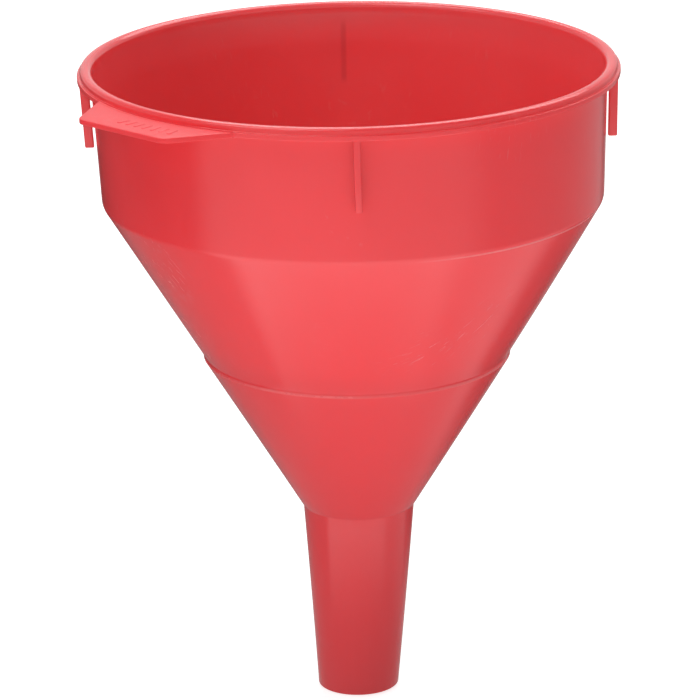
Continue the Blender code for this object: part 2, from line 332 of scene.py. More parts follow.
def bead_points():
    """Section of the bead: inner round, domed top, outer round, and the foot of its side."""
    inner_center = RIM_INNER + BEAD_INNER_ROUND
    outer_center = BEAD_SIDE - BEAD_OUTER_ROUND
    dome_start = inner_center - BEAD_INNER_ROUND * math.sin(BEAD_TILT)
    dome_end = outer_center + BEAD_OUTER_ROUND * math.sin(BEAD_TILT)
    crown = math.tan(BEAD_TILT) * (dome_end - dome_start) / 4.0
    foot = HEIGHT - crown
    tilt = math.degrees(BEAD_TILT)
    inner_height = foot - BEAD_INNER_ROUND * math.cos(BEAD_TILT)
    outer_height = foot - BEAD_OUTER_ROUND * math.cos(BEAD_TILT)

    points = arc((inner_center, inner_height), BEAD_INNER_ROUND, 180.0, 90.0 + tilt, 6)
    for share in (0.2, 0.4, 0.6, 0.8):
        rise = crown * (1.0 - (2.0 * share - 1.0) ** 2)
        points.append((dome_start + (dome_end - dome_start) * share, foot + rise))
    points += arc((outer_center, outer_height), BEAD_OUTER_ROUND, 90.0 - tilt, 0.0, 7)
    # The side runs out to the flange in a small hollow
    for out, up in ((0.0, 0.30), (0.02, 0.12), (0.10, 0.03)):
        points.append((BEAD_SIDE + out * MM, BEAD_BOTTOM + up * MM))
    return points


def flange_rings(angles):
    """Rings of the flange: top, rounded edge and underside, running out over the tab.

    The first ring is the start of the flat top, and the last two bound the lugs' cells.
    """
    outline = tab_outline()
    edge = np.array([outline_radius(outline, wrapped(a - TAB_ANGLE)) for a in angles])
    edge = np.maximum(edge, FLANGE_EDGE)
    flat_edge = edge - EDGE_ROUND
    level = np.ones_like(edge)
    quarter = [math.radians(90.0 * step / 3.0) for step in range(4)]

    rings = [(FLANGE_START * level, BEAD_BOTTOM * level)]
    for share in (RIB_START, RIB_START + RIB_END, RIB_STOP - RIB_END, RIB_STOP):
        rings.append((FLANGE_START + (flat_edge - FLANGE_START) * share, BEAD_BOTTOM * level))
    for turn in quarter:
        rings.append((edge - EDGE_ROUND * (1.0 - math.sin(turn)),
                      (BEAD_BOTTOM - EDGE_ROUND * (1.0 - math.cos(turn))) * level))
    for turn in quarter:
        rings.append((edge - EDGE_ROUND * (1.0 - math.cos(turn)),
                      (FLANGE_BOTTOM + EDGE_ROUND * (1.0 - math.sin(turn))) * level))
    under = LUG_OUTER + 0.08 * MM
    for share in (0.35, 0.7, 1.0):
        rings.append((flat_edge + (under - flat_edge) * share, FLANGE_BOTTOM * level))
    for radius in (LUG_OUTER, LUG_INNER):
        rings.append((radius * level, FLANGE_BOTTOM * level))
    return rings


def wall_points():
    """Section of the outside under the flange: collar, cone and spout."""
    flange_root = (COLLAR_TOP[0] + 2.0 * MM, FLANGE_BOTTOM)
    foot = (SPOUT_END[0] - SPOUT_WALL, SPOUT_END[1])
    line = rounded_corner(flange_root, COLLAR_TOP, CORNER, 0.5 * MM, 4)
    line += rounded_corner(COLLAR_TOP, CORNER, STEP, 4.0 * MM, 8)
    line += rounded_corner(CORNER, STEP, LOWER_CONE_TOP, 0.3 * MM, 3)
    line += rounded_corner(STEP, LOWER_CONE_TOP, CONE_END, 0.4 * MM, 5)
    line += rounded_corner(LOWER_CONE_TOP, CONE_END, SPOUT_TOP, 0.6 * MM, 4)
    line += rounded_corner(CONE_END, SPOUT_TOP, SPOUT_END, 0.5 * MM, 4)
    line += rounded_corner(SPOUT_TOP, SPOUT_END, foot, 0.45 * MM, 5)
    return spaced(line, ROW_STEP)


def inner_points():
    """Section of the inside, spout end up to the rim."""
    upper = cone_slope(STEP, CORNER)
    lower = cone_slope(CONE_END, LOWER_CONE_TOP)
    draft = cone_slope(CORNER, COLLAR_TOP)
    spout_slope = cone_slope(SPOUT_END, SPOUT_TOP)
    upper_in = inset(STEP, WALL, upper)
    lower_in = inset(CONE_END, WALL, lower)
    collar_in = inset(CORNER, WALL, draft)
    spout_in = inset(SPOUT_END, SPOUT_WALL, spout_slope)

    start = (spout_in[0], SPOUT_END[1])
    before = (SPOUT_END[0] - 0.6 * MM, SPOUT_END[1])
    mouth = crossing(spout_in, spout_slope, lower_in, lower)
    ledge_foot_height = lower_in[1] + (LEDGE_INNER - lower_in[0]) / lower
    ledge_foot = (LEDGE_INNER, ledge_foot_height)
    ledge_lip = (LEDGE_INNER, SEAT_HEIGHT)
    ledge_root = on_line(upper_in, upper, SEAT_HEIGHT)
    corner = crossing(upper_in, upper, collar_in, draft)
    shelf = on_line(collar_in, draft, HEIGHT - 12.0 * MM)
    shelf_top = (RIM_INNER - 0.3 * MM, HEIGHT - 3.8 * MM)
    rim_foot = (RIM_INNER, HEIGHT - 1.9 * MM)

    line = rounded_corner(before, start, mouth, 0.3 * MM, 3)
    line += rounded_corner(start, mouth, ledge_foot, 2.0 * MM, 5)
    line += rounded_corner(mouth, ledge_foot, ledge_lip, 1.0 * MM, 3)
    line += rounded_corner(ledge_foot, ledge_lip, ledge_root, 0.3 * MM, 3)
    line += rounded_corner(ledge_lip, ledge_root, corner, 0.2 * MM, 2)
    line += rounded_corner(ledge_root, corner, shelf, 2.6 * MM, 7)
    line += rounded_corner(corner, shelf, shelf_top, 20.0 * MM, 3)
    line += rounded_corner(shelf, shelf_top, rim_foot, 2.0 * MM, 4)
    line.append(rim_foot)
    return spaced(line, ROW_STEP)


def moulded_warp(radius, height, angle):
    """Radius with the slight out-of-round and ripple of a thin moulding."""
    high = smooth_share(height, WARP_START, HEIGHT)
    squeeze = -0.5 * RIM_SQUEEZE * high * (1.0 + np.cos(2.0 * angle))
    lobes = 0.06 * MM * high * np.cos(3.0 * angle + height / (34.0 * MM))
    ripple = 0.035 * MM * high * np.sin(7.0 * angle + 1.3 + height / (19.0 * MM))
    return radius + squeeze + lobes + ripple


def bowed(height):
    """Sideways shift of the moulding's axis: none at the strainer's seat, most at the ends."""
    share = (height - 0.52 * HEIGHT) / (0.5 * HEIGHT)
    return -AXIS_BOW * share * share - AXIS_LEAN * share


def tilted(x, height):
    """Height on the slightly tilted rim: unchanged on -X, highest on +X."""
    share = smooth_share(height, WARP_START, HEIGHT)
    return height + RIM_TILT * share * (1.0 + x / RIM_RADIUS)


def raise_ribs(angles, rings, first_ring):
    """Lifts two neighbouring rings of the flange's top into plain grip ribs on the tab."""
    lift = np.zeros(len(angles))
    for center in rib_centers():
        off_center = np.abs(angles - wrapped(TAB_ANGLE + center))
        lift[off_center < RIB_HALF + RIB_SLOPE * 0.5] = RIB_HEIGHT
    for index in (first_ring, first_ring + 1):
        radius, height = rings[index]
        rings[index] = (radius, height + lift)


def add_lugs(form, lug_faces):
    """Draws each lug down from its cell under the flange and rounds its free edges."""
    for index, face in enumerate(lug_faces):
        turn = Matrix.Rotation(math.tau * index / LUG_COUNT, 3, "Z")
        top = list(face.verts)
        form.faces.remove(face)
        bottom = []
        for vert in top:
            bow_top = Vector((bowed(vert.co.z), 0.0, 0.0))
            bow_foot = Vector((bowed(LUG_BOTTOM), 0.0, 0.0))
            local = turn.inverted() @ (vert.co - bow_top)
            side = math.copysign(LUG_HALF, local.y)
            vert.co = turn @ Vector((local.x, side, local.z)) + bow_top
            foot = turn @ Vector((local.x - LUG_LEAN, side * LUG_TAPER, LUG_BOTTOM)) + bow_foot
            foot.z = float(tilted(foot.x, LUG_BOTTOM))
            bottom.append(form.verts.new(foot))
        count = len(top)
        for i in range(count):
            j = (i + 1) % count
            form.faces.new((top[i], top[j], bottom[j], bottom[i]))
        form.faces.new(bottom)
        form.edges.ensure_lookup_table()
        rounded = []
        for i in range(count):
            j = (i + 1) % count
            rounded.append(form.edges.get((top[i], bottom[i])))
            rounded.append(form.edges.get((bottom[i], bottom[j])))
        bmesh.ops.bevel(form, geom=rounded, offset=LUG_BEVEL, offset_type="OFFSET",
                        segments=3, profile=0.5, affect="EDGES", clamp_overlap=True)


def settle_order(items, place):
    """Puts vertices or faces in an order set by their places, so that every run has the same."""
    for index, item in enumerate(sorted(items, key=place)):
        item.index = index
    items.sort(key=lambda item: item.index)
    items.index_update()


def lug_columns(angles):
    """Which lug starts at which upright line of the moulding."""
    columns = {}
    for i in range(LUG_COUNT):
        start = wrapped(math.tau * i / LUG_COUNT - LUG_TURN)
        columns[int(np.argmin(np.abs(angles - start)))] = i
    return columns


def moulding_sections(angles):
    """All the rings, round the whole section, and the index of the ring above the lugs."""
    bead = even_rings(bead_points(), len(angles))
    flange = flange_rings(angles)
    raise_ribs(angles, flange, 2)
    lug_ring = len(bead) + len(flange) - 2
    rings = bead + flange + even_rings(wall_points() + inner_points(), len(angles))
    return rings, lug_ring


def make_moulding():
    """The whole funnel as one closed skin, with its lugs drawn down from the flange."""
    angles = turn_angles()
    rings, lug_ring = moulding_sections(angles)
    radius = np.array([r for r, _ in rings])
    height = np.array([h for _, h in rings])
    radius = moulded_warp(radius, height, angles[None, :])
    across = radius * np.cos(angles)
    points = np.stack([across + bowed(height), radius * np.sin(angles),
                       tilted(across, height)], axis=2)

    form = bmesh.new()
    grid = [[form.verts.new(p) for p in row] for row in points]
    lug_starts = lug_columns(angles)
    lug_faces = [None] * LUG_COUNT
    count = len(rings)
    turns = len(angles)
    for row in range(count):
        below = (row + 1) % count
        for column in range(turns):
            beside = (column + 1) % turns
            face = form.faces.new((grid[row][column], grid[below][column],
                                   grid[below][beside], grid[row][beside]))
            face.smooth = True
            if row == lug_ring and column in lug_starts:
                lug_faces[lug_starts[column]] = face
    add_lugs(form, lug_faces)
    bmesh.ops.recalc_face_normals(form, faces=form.faces)
    settle_order(form.verts, lambda vert: tuple(vert.co))
    settle_order(form.faces, lambda face: tuple(face.calc_center_median()))
    moulding = link_form("funnel_moulding", form)
    smooth_with_sharp(moulding, 32.0)
    return moulding


# ------------------------------ the strainer

HOOP_WALL = 0.8 * MM
STRAINER_STEPS = 192
UPWARDS = np.array((0.0, 0.0, 1.0))


def hoop_section():
    """Section of the hoop: rolled top edge, straight side, and the lip under the gauze."""
    outside = hoop_high.x - 0.5 * MM         # the rolled edge stands out past the side
    inside = outside - HOOP_WALL
    bottom = hoop_low.z
    top = hoop_high.z
    lip = inside - 3.4 * MM
    roll = 0.65 * MM
    edge = 0.3 * MM
    fillet = 0.25 * MM
    straight = bottom + 3.0 * MM
    lip_center = (lip + edge, bottom + edge)
    lip_top_center = (lip + edge, bottom + HOOP_WALL - edge)
    fillet_center = (inside - fillet, bottom + HOOP_WALL + fillet)
    section = arc((inside + roll, top - roll), roll, 180.0, -70.0, 14)
    section += [(outside, top - 2.0 * roll - 0.35 * MM), (outside, straight)]
    section += arc((outside - HOOP_WALL, bottom + HOOP_WALL), HOOP_WALL, 0.0, -90.0, 6)
    section += arc(lip_center, edge, -90.0, -180.0, 3)
    section += arc(lip_top_center, edge, 180.0, 90.0, 3)
    section += arc(fillet_center, fillet, -90.0, 0.0, 3)
    section.append((inside, straight))
    return section


def make_hole_rod():
    """Rod along the bail's pivot line that cuts both of the hoop's holes."""
    sides = 32
    radius = 1.1 * MM
    form = bmesh.new()
    # Half a side's turn keeps the rod's corners off the hoop's own upright lines
    placed = Matrix.Translation((0.0, 0.0, PIVOT_HEIGHT)) @ Matrix.Rotation(math.pi / 2.0, 4, "Y")
    placed = placed @ Matrix.Rotation(math.pi / sides, 4, "Z")
    bmesh.ops.create_cone(form, cap_ends=True, segments=sides, radius1=radius, radius2=radius,
                          depth=2.4 * hoop_high.x, matrix=placed)
    return link_form("hole_rod", form)


def make_hoop():
    """Pressed channel ring with two holes for the bail."""
    hoop = turned_rings("hoop_pressing", hoop_section(), STRAINER_STEPS)
    rod = make_hole_rod()
    cut = hoop.modifiers.new("holes", "BOOLEAN")
    cut.operation = "DIFFERENCE"
    cut.object = rod
    depsgraph = bpy.context.evaluated_depsgraph_get()
    finished = bpy.data.meshes.new_from_object(hoop.evaluated_get(depsgraph))
    hoop.modifiers.clear()
    hoop.data = finished
    bpy.data.objects.remove(rod)
    smooth_with_sharp(hoop, 35.0)
    return hoop


def tube_along(paths, radius, sides, up):
    """Closed round wires along lists of points; up is a direction off every path."""
    verts = []
    faces = []
    circle = [(math.cos(math.tau * k / sides), math.sin(math.tau * k / sides))
              for k in range(sides)]
    for path in paths:
        points = np.asarray(path)
        along = np.gradient(points, axis=0)
        along /= np.linalg.norm(along, axis=1)[:, None]
        side = np.cross(along, up)
        side /= np.linalg.norm(side, axis=1)[:, None]
        lift = np.cross(side, along)
        start = len(verts)
        for point, sideways, upwards in zip(points, side, lift):
            for c, d in circle:
                verts.append(point + sideways * (c * radius) + upwards * (d * radius))
        count = len(points)
        for i in range(count - 1):
            for k in range(sides):
                m = (k + 1) % sides
                a = start + i * sides
                faces.append((a + k, a + sides + k, a + sides + m, a + m))
        faces.append(tuple(start + k for k in range(sides)))
        last = start + (count - 1) * sides
        faces.append(tuple(last + k for k in reversed(range(sides))))
    return verts, faces


def make_gauze():
    """Plain-weave gauze: every wire rides over one crossing wire and under the next."""
    pitch = 1.45 * MM
    wire = 0.19 * MM                         # radius of one wire
    swing = wire * 1.02                      # crossing wires just clear each other
    reach = gauze_high.x - 0.25 * MM
    middle = (gauze_low.z + gauze_high.z) / 2.0
    count = int(reach / pitch)
    paths = []
    for direction in (0, 1):
        for i in range(-count, count + 1):
            offset = i * pitch
            half = math.sqrt(max(reach ** 2 - offset ** 2, 0.0))
            steps = int(half / (pitch / 2.0))
            if steps < 2:
                continue
            path = []
            for k in range(-steps, steps + 1):
                along = k * pitch / 2.0
                phase = math.pi * (along / pitch + i + direction)
                height = middle + swing * math.cos(phase)
                if direction == 0:
                    path.append((along, offset, height))
                else:
                    path.append((offset, along, height))
            paths.append(path)
    verts, faces = tube_along(paths, wire, 6, UPWARDS)
    gauze = mesh_object("gauze_weave", verts, faces)
    gauze.data.shade_smooth()
    return gauze


def make_clamp_ring():
    """Flat ring pressed over the gauze, with rolled edges and a shallow groove on top."""
    outside = clamp_high.x
    inside = outside - 2.8 * MM
    low = clamp_low.z
    high = clamp_high.z
    edge = 0.22 * MM
    groove_middle = inside + 1.3 * MM
    groove_half = 0.3 * MM
    groove_depth = 0.16 * MM
    section = arc((inside + edge, high - edge), edge, 180.0, 90.0, 3)
    section += [(groove_middle - groove_half, high), (groove_middle, high - groove_depth),
                (groove_middle + groove_half, high)]
    section += arc((outside - edge, high - edge), edge, 90.0, 0.0, 3)
    section += arc((outside - edge, low + edge), edge, 0.0, -90.0, 3)
    section += arc((inside + edge, low + edge), edge, -90.0, -180.0, 3)
    ring = turned_rings("clamp_ring_pressing", section, STRAINER_STEPS)
    smooth_with_sharp(ring, 38.0)
    return ring


def bail_path(reach):
    """Middle line of the bail, from its right tip round to its left one."""
    tip = bail_high.x - 0.05 * MM
    leg = 39.1 * MM                          # half the distance between the legs
    bend = 2.5 * MM
    steps = 40
    right = [(tip, 0.0), (tip - 1.45 * MM, 0.0), (leg + bend + 0.3 * MM, 0.0)]
    right += arc((leg + bend, bend), bend, 270.0, 180.0, 10)
    for i in range(1, steps + 1):
        angle = math.radians(90.0) * i / steps
        right.append((leg * math.cos(angle), bend + (reach - bend) * math.sin(angle)))
    left = [(-x, y) for x, y in reversed(right[:-1])]
    return [(x, y, PIVOT_HEIGHT) for x, y in right + left]


def make_bail():
    """Wire bail lying flat over the gauze, its ends sprung out through the hoop's holes."""
    wire = (bail_high.z - bail_low.z) / 2.0
    verts, faces = tube_along([bail_path(bail_high.y - wire)], wire, 20, UPWARDS)
    bail = mesh_object("bail_wire", verts, faces)
    form = bmesh.new()
    form.from_mesh(bail.data)
    ends = [edge for edge in form.edges
            if any(len(face.verts) > 4 for face in edge.link_faces)]
    bmesh.ops.bevel(form, geom=ends, offset=wire * 0.35, offset_type="OFFSET", segments=3,
                    profile=0.5, affect="EDGES")
    form.to_mesh(bail.data)
    form.free()
    smooth_with_sharp(bail, 40.0)
    return bail


# ------------------------------ materials

class Nodes:
    """A node tree, with short calls for the nodes that the finishes and the stage share."""

    def __init__(self, tree):
        self.tree = tree

    def add(self, kind, **settings):
        """A new node with these properties."""
        node = self.tree.nodes.new(kind)
        for key, value in settings.items():
            setattr(node, key, value)
        return node

    def link(self, source, target):
        self.tree.links.new(source, target)

    def fill(self, node, key, value):
        """Links the value to the node's input if it is a socket, else sets it."""
        socket = node.inputs[key]
        if isinstance(value, bpy.types.NodeSocket):
            self.link(value, socket)
        else:
            socket.default_value = value

    def scaled(self, source, scale):
        """A vector times a scale for each axis."""
        node = self.add("ShaderNodeVectorMath", operation="MULTIPLY")
        self.fill(node, 0, source)
        self.fill(node, 1, scale)
        return node.outputs[0]

    def noise(self, source, scale, detail=3.0, roughness=0.5):
        """Smooth noise from 0 to 1; scale is in features a metre."""
        node = self.add("ShaderNodeTexNoise")
        self.fill(node, "Vector", source)
        self.fill(node, "Scale", scale)
        self.fill(node, "Detail", detail)
        self.fill(node, "Roughness", roughness)
        return node.outputs["Fac"]

    def between(self, value, low, high, to_low=0.0, to_high=1.0):
        """Smooth change from to_low to to_high as the value goes from low to high."""
        node = self.add("ShaderNodeMapRange", interpolation_type="SMOOTHSTEP")
        self.fill(node, "Value", value)
        self.fill(node, "From Min", low)
        self.fill(node, "From Max", high)
        self.fill(node, "To Min", to_low)
        self.fill(node, "To Max", to_high)
        return node.outputs["Result"]

    def math(self, operation, a, b=0.0):
        """One operation on plain numbers or sockets."""
        node = self.add("ShaderNodeMath", operation=operation)
        self.fill(node, 0, a)
        self.fill(node, 1, b)
        return node.outputs[0]

    def mix(self, share, a, b):
        """Colour between a and b."""
        node = self.add("ShaderNodeMix", data_type="RGBA")
        self.fill(node, "Factor", share)
        self.fill(node, 6, a)
        self.fill(node, 7, b)
        return node.outputs[2]

    def bump(self, height, distance, strength, normal=None):
        """Normal disturbed by a height, on top of another normal if there is one."""
        node = self.add("ShaderNodeBump")
        self.fill(node, "Height", height)
        self.fill(node, "Distance", distance)
        self.fill(node, "Strength", strength)
        if normal is not None:
            self.link(normal, node.inputs["Normal"])
        return node.outputs["Normal"]

    def band(self, value, rise, fall):
        """0 to 1 over the rise, and back to 0 over the fall; each is a (from, to) pair."""
        return self.math("MULTIPLY", self.between(value, *rise),
                         self.between(value, *fall, 1.0, 0.0))

    def blend(self, share, a, b):
        """Plain number between a and b."""
        node = self.add("ShaderNodeMix", data_type="FLOAT")
        self.fill(node, 0, share)
        self.fill(node, 2, a)
        self.fill(node, 3, b)
        return node.outputs[0]

    def separate(self, source):
        """The x, y and z of a vector."""
        split = self.add("ShaderNodeSeparateXYZ")
        self.link(source, split.inputs[0])
        return list(split.outputs)

    def off_axis(self, x, y):
        """Distance from the funnel's axis."""
        square = self.math("ADD", self.math("POWER", x, 2.0), self.math("POWER", y, 2.0))
        return self.math("SQRT", square)


class Finish(Nodes):
    """A material, its node tree and its main shader."""

    def __init__(self, name):
        self.material = bpy.data.materials.new(name)
        self.material.use_nodes = True
        super().__init__(self.material.node_tree)
        self.shader = self.tree.nodes["Principled BSDF"]
        self.place = self.add("ShaderNodeTexCoord").outputs["Object"]

    def set_shader(self, **values):
        """Plain values or links for the shader's inputs; an underscore stands for a space."""
        for key, value in values.items():
            self.fill(self.shader, key.replace("_", " "), value)

    def turn_place(self):
        """Place as (turn about the axis, radius, height), for marks that follow the lathe."""
        x, y, height = self.separate(self.place)
        joined = self.add("ShaderNodeCombineXYZ")
        self.link(self.math("ARCTAN2", y, x), joined.inputs[0])
        self.link(self.off_axis(x, y), joined.inputs[1])
        self.link(height, joined.inputs[2])
        return joined.outputs[0]


def inner_side(n):
    """1 on the moulding's inside, 0 on its outside and its flat faces.

    The product is minus the distance from the axis where a surface faces the axis.
    """
    normal = n.add("ShaderNodeTexCoord").outputs["Normal"]
    facing = n.add("ShaderNodeVectorMath", operation="DOT_PRODUCT")
    n.link(normal, facing.inputs[0])
    n.link(n.scaled(n.place, (1.0, 1.0, 0.0)), facing.inputs[1])
    return n.between(facing.outputs["Value"], -0.030, -0.012, 1.0, 0.0)


def lug_shadow_stripes(n):
    """Painted shade: darker upright stripes at the lugs' places, as tall as the lugs, for their
    shadows seen through the wall.
    """
    strength = 0.35
    middle = (LUG_BOTTOM + HEIGHT) / 2.0
    x, y, height = n.separate(n.place)
    beside = n.math("ABSOLUTE", n.math("SUBTRACT", x, bowed(middle)))
    off_lug = n.math("MINIMUM", beside, n.math("ABSOLUTE", y))
    stripe = n.between(off_lug, 0.3 * MM, 1.3 * MM, strength, 0.0)
    tall = n.band(height, (LUG_BOTTOM - 1.0 * MM, LUG_BOTTOM + 2.0 * MM),
                  (HEIGHT - 8.0 * MM, HEIGHT - 4.0 * MM))
    return n.math("MULTIPLY", stripe, tall)


def scratch_lines(n, worn):
    """Short fine scratches, all leaning one way, where the surface is worn."""
    leaning = n.add("ShaderNodeMapping")
    n.link(n.place, leaning.inputs["Vector"])
    leaning.inputs["Rotation"].default_value = (0.5, 0.9, 0.35)
    leaning.inputs["Scale"].default_value = (1.0, 14.0, 1.0)
    streaks = n.noise(leaning.outputs[0], scale=170.0, detail=2.0, roughness=0.55)
    return n.math("MULTIPLY", n.between(streaks, 0.63, 0.70), worn)


def handling_scuffs(n, height, worn, scratches):
    """Share of pale scuffing: full on the upper cone, weaker up the collar, none below."""
    smears = n.between(n.noise(n.place, scale=95.0, detail=6.0, roughness=0.7), 0.56, 0.72)
    rubbed = n.math("MULTIPLY", smears, worn)
    marks = n.math("MAXIMUM", n.math("MULTIPLY", scratches, 0.30),
                   n.math("MULTIPLY", rubbed, 0.24))
    cone = n.between(height, STEP[1] - 7.2 * MM, STEP[1] + 4.8 * MM)
    collar = n.between(height, CORNER[1] - 2.8 * MM, CORNER[1] + 13.2 * MM, 1.0, 0.5)
    return n.math("MULTIPLY", marks, n.math("MULTIPLY", cone, collar))


def step_highlight(n, radius, height):
    """Share of a painted highlight: a pale line all round the step's proud edge, where its facet
    catches the light.
    """
    strength = 0.35
    middle = STEP[1] - 0.75 * STEP_DROP
    line = n.band(height, (middle - 0.8 * MM, middle - 0.1 * MM),
                  (middle + 0.1 * MM, middle + 0.6 * MM))
    outside = n.between(radius, STEP[0] - 1.1 * MM, STEP[0] - 0.5 * MM, 0.0, strength)
    uneven = n.between(n.noise(n.place, scale=22.0, detail=1.0), 0.40, 0.60, 0.35, 1.0)
    return n.math("MULTIPLY", n.math("MULTIPLY", line, outside), uneven)


def corner_highlight(n, height, inside):
    """Share of a painted highlight: a pale line along the collar's lower corner, on its +X side,
    where its rounding catches the light.
    """
    strength = 0.60
    middle = CORNER[1] - 0.4 * MM
    line = n.band(height, (middle - 0.5 * MM, middle), (middle, middle + 0.5 * MM))
    x, _, _ = n.separate(n.place)
    side = n.between(x, 12.0 * MM, 42.0 * MM, 0.0, strength)
    return n.math("MULTIPLY", n.math("MULTIPLY", line, side), n.math("SUBTRACT", 1.0, inside))


def red_color(n, lathe, broad, inside):
    """Moulded red with faint flow marks, a painted pale sheen inside, and painted shade stripes at
    the lugs.
    """
    deep = (0.89, 0.062, 0.072, 1.0)
    light = (0.93, 0.069, 0.080, 1.0)
    flow_red = (0.82, 0.075, 0.075, 1.0)
    inner_sheen_red = (0.86, 0.30, 0.31, 1.0)
    lug_shade_red = (0.52, 0.050, 0.060, 1.0)
    color = n.mix(n.between(broad, 0.35, 0.65), deep, light)
    flow = n.noise(n.scaled(lathe, (9.0, 12.0, 12.0)), scale=2.2, detail=4.0, roughness=0.6)
    color = n.mix(n.between(flow, 0.45, 0.75, 0.0, 0.10), color, flow_red)
    # Painted reflection: a pale veil on the inside stands in for the sky's sheen on the inner wall.
    cloudy = n.noise(n.scaled(n.place, (1.0, 1.0, 0.4)), scale=22.0, detail=2.0)
    inner_sheen = n.between(cloudy, 0.3, 0.7, 0.11, 0.17)
    color = n.mix(n.math("MULTIPLY", inside, inner_sheen), color, inner_sheen_red)
    # Painted shade: darker stripes where the lugs' shadows show through the translucent wall.
    return n.mix(n.math("MULTIPLY", inside, lug_shadow_stripes(n)), color, lug_shade_red)


def satin_roughness(n, broad, scuffs_and_highlights, on_tab):
    """Satin where it left the polished mould, rougher on the scuffs, on the painted highlight lines
    and on the tab.
    """
    fine = n.noise(n.place, scale=420.0, detail=3.0)
    patches = n.math("ADD", n.math("MULTIPLY", fine, 0.5), n.math("MULTIPLY", broad, 0.5))
    rough = n.between(patches, 0.35, 0.65, 0.13, 0.19)
    rough = n.math("ADD", rough, n.math("MULTIPLY", scuffs_and_highlights, 0.5))
    return n.math("ADD", rough, n.math("MULTIPLY", on_tab, 0.25))


def moulded_relief(n, scratches, on_tab):
    """Normal with the mould's grain, a slight orange peel, and the scratches cut in."""
    strength = n.between(on_tab, 0.0, 1.0, 0.05, 0.6)
    grain = n.bump(n.noise(n.place, scale=1300.0, detail=2.0), 0.03 * MM, strength)
    peel = n.bump(n.noise(n.place, scale=60.0, detail=2.0), 0.3 * MM, 0.04, grain)
    return n.bump(n.math("MULTIPLY", scratches, -1.0), 0.04 * MM, 0.5, peel)


def polyethylene():
    """Red moulded polyethylene: satin, faintly translucent and scuffed, with pale lines painted as
    highlights on the step and the collar's corner.
    """
    n = Finish("red_polyethylene")
    scuff_and_highlight_red = (0.86, 0.30, 0.31, 1.0)
    lathe = n.turn_place()
    _, radius, height = n.separate(lathe)
    broad = n.noise(n.place, scale=14.0, detail=3.0)
    inside = inner_side(n)
    on_tab = n.between(radius, RIM_RADIUS + 0.1 * MM, RIM_RADIUS + 1.5 * MM)

    worn = n.between(n.noise(n.place, scale=26.0, detail=2.0), 0.52, 0.70)
    scratches = scratch_lines(n, worn)
    scuffs_and_highlights = handling_scuffs(n, height, worn, scratches)
    # Pale lines painted as highlights on the step and the collar's corner join the real scuffs
    # here.
    scuffs_and_highlights = n.math("MAXIMUM", scuffs_and_highlights, step_highlight(n, radius, height))
    scuffs_and_highlights = n.math("MAXIMUM", scuffs_and_highlights, corner_highlight(n, height, inside))
    color = n.mix(scuffs_and_highlights, red_color(n, lathe, broad, inside), scuff_and_highlight_red)

    n.set_shader(Base_Color=color, IOR=1.51,
                 Roughness=satin_roughness(n, broad, scuffs_and_highlights, on_tab),
                 Normal=moulded_relief(n, scratches, on_tab),
                 Specular_IOR_Level=n.between(on_tab, 0.0, 1.0, 0.5, 0.25),
                 Subsurface_Weight=0.6, Subsurface_Radius=(1.0, 0.22, 0.18),
                 Subsurface_Scale=3.0 * MM)
    return n.material


def tinplate():
    """Bright tinplate: fine turning marks, dull patches and a few dark stains."""
    n = Finish("tinplate")
    bright = (0.78, 0.77, 0.73, 1.0)
    dull = (0.60, 0.59, 0.55, 1.0)
    stained = (0.33, 0.29, 0.24, 1.0)
    cloudy = n.noise(n.place, scale=60.0, detail=5.0, roughness=0.6)
    color = n.mix(n.between(cloudy, 0.35, 0.70), bright, dull)
    blotches = n.noise(n.place, scale=180.0, detail=6.0, roughness=0.7)
    color = n.mix(n.between(blotches, 0.62, 0.76, 0.0, 0.5), color, stained)
    marks = n.noise(n.scaled(n.turn_place(), (3.0, 1400.0, 1400.0)), scale=1.0, detail=3.0)
    uneven = n.math("ADD", n.math("MULTIPLY", marks, 0.6), n.math("MULTIPLY", cloudy, 0.4))
    n.set_shader(Base_Color=color, Metallic=1.0,
                 Roughness=n.between(uneven, 0.3, 0.7, 0.20, 0.42),
                 Normal=n.bump(marks, 0.03 * MM, 0.35))
    return n.material


def brass_gauze():
    """Drawn brass wire with brown tarnish in fine spots."""
    n = Finish("brass_gauze")
    bright = (0.86, 0.71, 0.36, 1.0)
    dull = (0.72, 0.57, 0.28, 1.0)
    tarnished = (0.50, 0.39, 0.20, 1.0)
    cloudy = n.noise(n.place, scale=45.0, detail=4.0)
    color = n.mix(n.between(cloudy, 0.3, 0.7), bright, dull)
    tarnish = n.between(n.noise(n.place, scale=900.0, detail=3.0), 0.45, 0.7, 0.0, 0.6)
    color = n.mix(tarnish, color, tarnished)
    die_lines = n.noise(n.place, scale=4000.0, detail=2.0)
    n.set_shader(Base_Color=color, Metallic=1.0,
                 Roughness=n.between(tarnish, 0.0, 0.6, 0.24, 0.48),
                 Normal=n.bump(die_lines, 0.01 * MM, 0.4))
    return n.material


def plated_wire():
    """Drawn and plated steel wire with fine pitting and slightly dulled spots."""
    n = Finish("plated_wire")
    bright = (0.80, 0.80, 0.80, 1.0)
    dull = (0.58, 0.58, 0.57, 1.0)
    spots = n.noise(n.place, scale=240.0, detail=4.0, roughness=0.6)
    pits = n.noise(n.place, scale=2200.0, detail=3.0)
    n.set_shader(Base_Color=n.mix(n.between(spots, 0.4, 0.7), bright, dull), Metallic=1.0,
                 Roughness=n.between(spots, 0.35, 0.7, 0.16, 0.38),
                 Normal=n.bump(pits, 0.02 * MM, 0.3))
    return n.material


def finish_piece(piece, material, body, node):
    """Gives a piece its material and its body, and hides its CAD node in the frame."""
    piece.data.materials.clear()
    piece.data.materials.append(material)
    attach(piece, body)
    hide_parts(node)


# ------------------------------ stage

